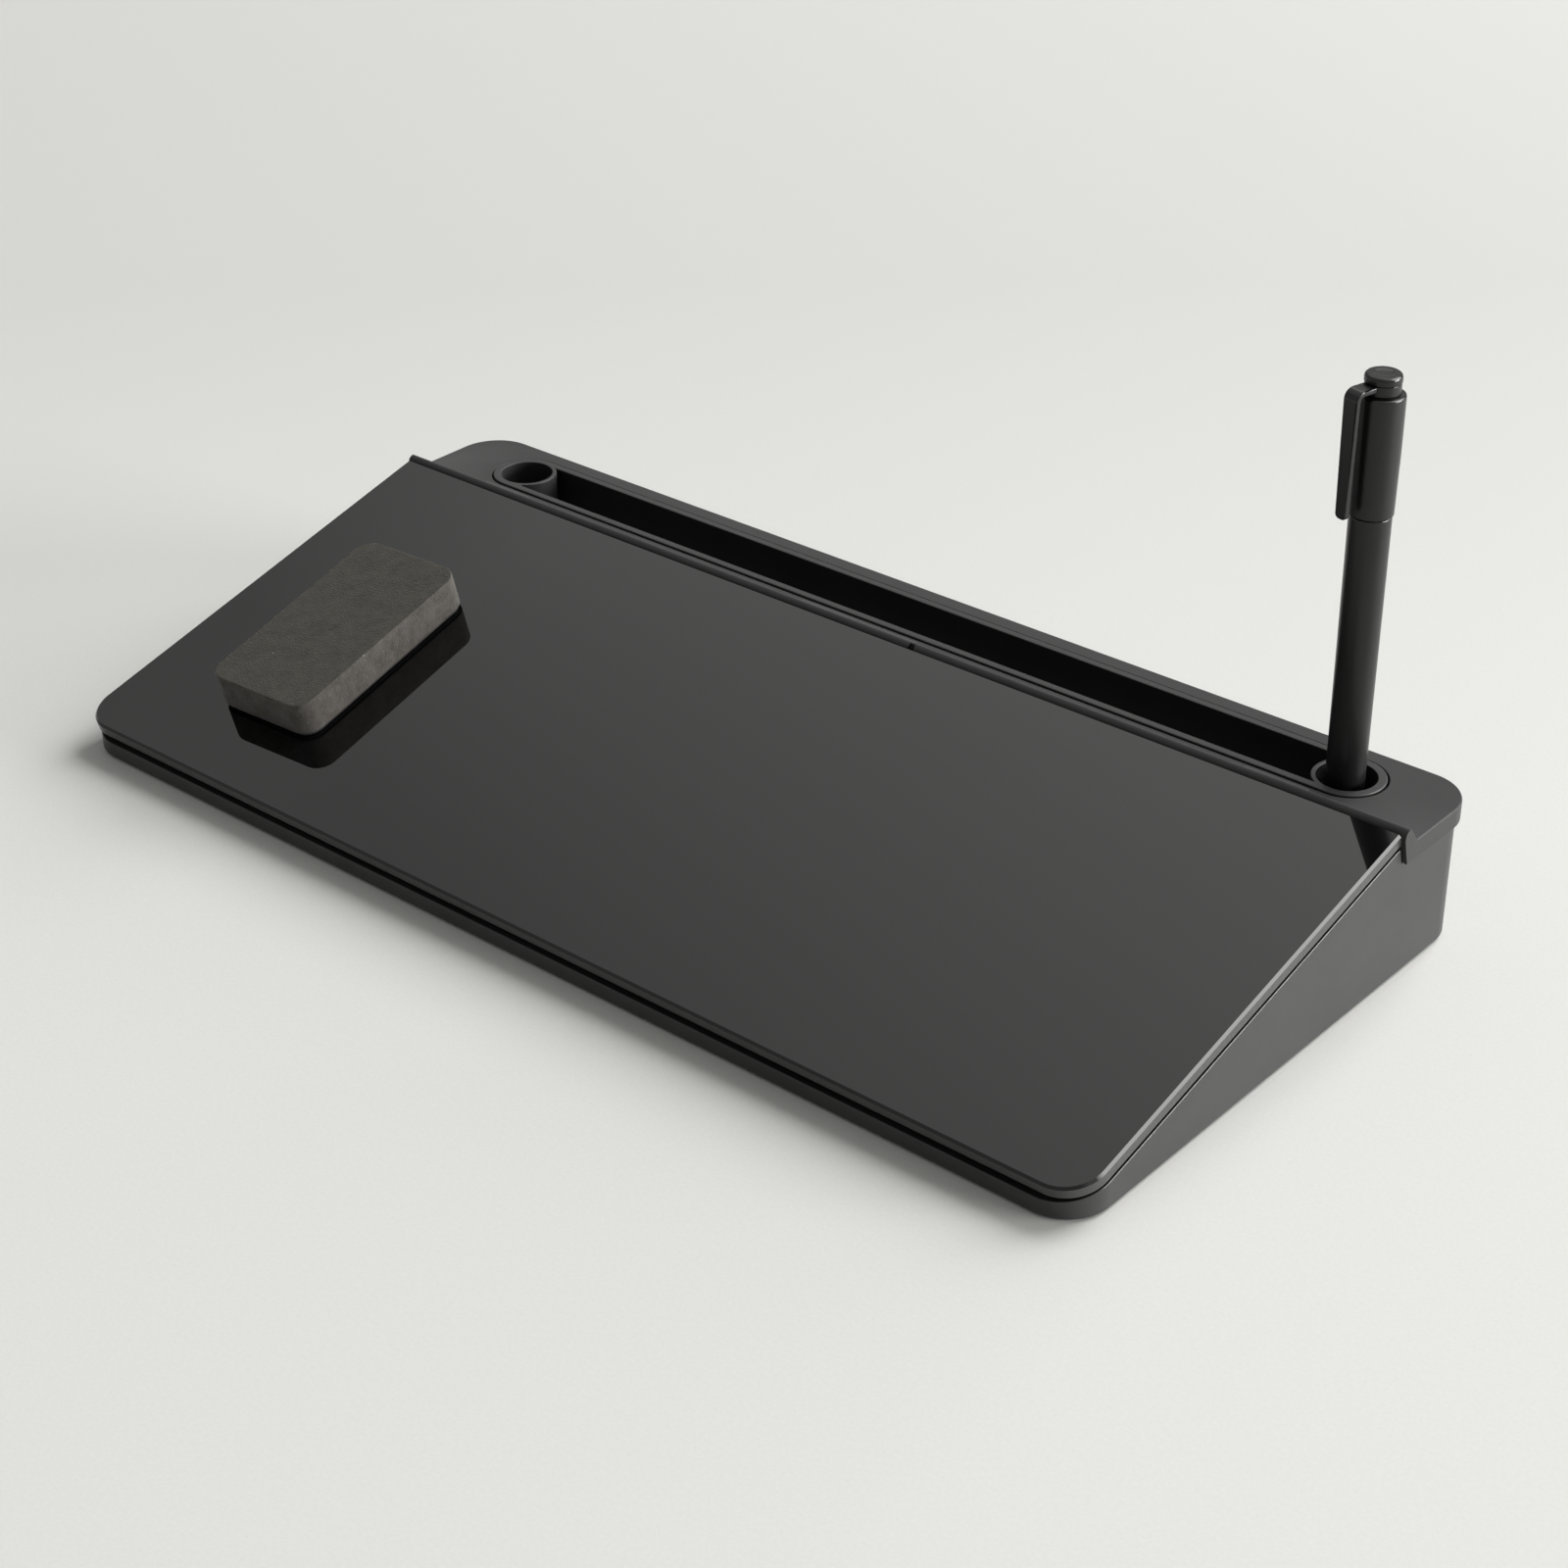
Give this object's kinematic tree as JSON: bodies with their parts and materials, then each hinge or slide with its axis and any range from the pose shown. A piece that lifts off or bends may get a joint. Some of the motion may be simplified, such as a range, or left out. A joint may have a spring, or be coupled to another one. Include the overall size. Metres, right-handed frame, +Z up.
{
  "type": "desktop glass whiteboard",
  "caption": "Wedge-shaped desktop glass whiteboard whose lid hinges up over a storage tray, with a rear organiser, a capped marker pen and a foam eraser.",
  "frame": {"origin": "centre of the footprint's box, on the desk", "axes": "+X along the board towards the pen, +Y from the user to the organiser at the rear, +Z up"},
  "size_m": [0.3832, 0.1844, 0.1635],
  "materials": {
    "shell_plastic": "fine satin moulded black",
    "organiser_plastic": "fine satin moulded black",
    "inner_plastic": "plain moulded dark grey",
    "glass": "polished, back-painted black",
    "tape_foam": "black foam tape",
    "steel": "zinc plated",
    "rubber": "matt",
    "pen_plastic": "soft gloss moulded black",
    "pen_fibre": "ink-soaked fibre",
    "eraser_foam": "fine-celled dark grey foam",
    "eraser_felt": "pressed black felt"
  },
  "bodies": {
    "base": {"base_shell": "shell_plastic", "rear_cover": "shell_plastic", "organiser_tray": "organiser_plastic", "foot_front_left": "rubber", "foot_rear_left": "rubber", "foot_front_right": "rubber", "foot_rear_right": "rubber", "cover_screw_1": "steel", "cover_screw_2": "steel", "cover_screw_3": "steel", "cover_screw_4": "steel", "cover_screw_5": "steel", "cover_screw_6": "steel", "lid_bumper_left": "rubber", "lid_bumper_right": "rubber", "hinge_pin_centre": "steel", "hinge_pin_left": "steel", "hinge_pin_right": "steel"},
    "lid": {"glass_board": "glass", "glass_tape": "tape_foam", "lid_carrier": "inner_plastic"},
    "eraser": {"eraser_felt": "eraser_felt", "eraser_foam": "eraser_foam"},
    "pen": {"pen_barrel": "pen_plastic", "pen_end_plug": "pen_plastic", "pen_ink_reservoir": "pen_fibre", "pen_nib_holder": "pen_plastic", "pen_nib": "pen_fibre"},
    "pen_cap": {"pen_cap": "pen_plastic", "pen_clip": "pen_plastic", "pen_cap_button": "pen_plastic"}
  },
  "joints": [
    {"name": "lid_hinge", "type": "hinge", "parent": "base", "child": "lid", "pos_m": [0, 0.05504, 0.04623], "axis": [-1, 0, 0], "range_deg": [0, 65]},
    {"name": "eraser_lift", "type": "slide", "parent": "lid", "child": "eraser", "axis": [0, -0.2504, 0.9681], "range_m": [0, 0.03]},
    {"name": "pen_lift", "type": "slide", "parent": "base", "child": "pen", "axis": [0, 0, 1], "range_m": [0, 0.04]},
    {"name": "cap_pull", "type": "slide", "parent": "pen", "child": "pen_cap", "axis": [0, 0, 1], "range_m": [0, 0.045]}
  ]
}
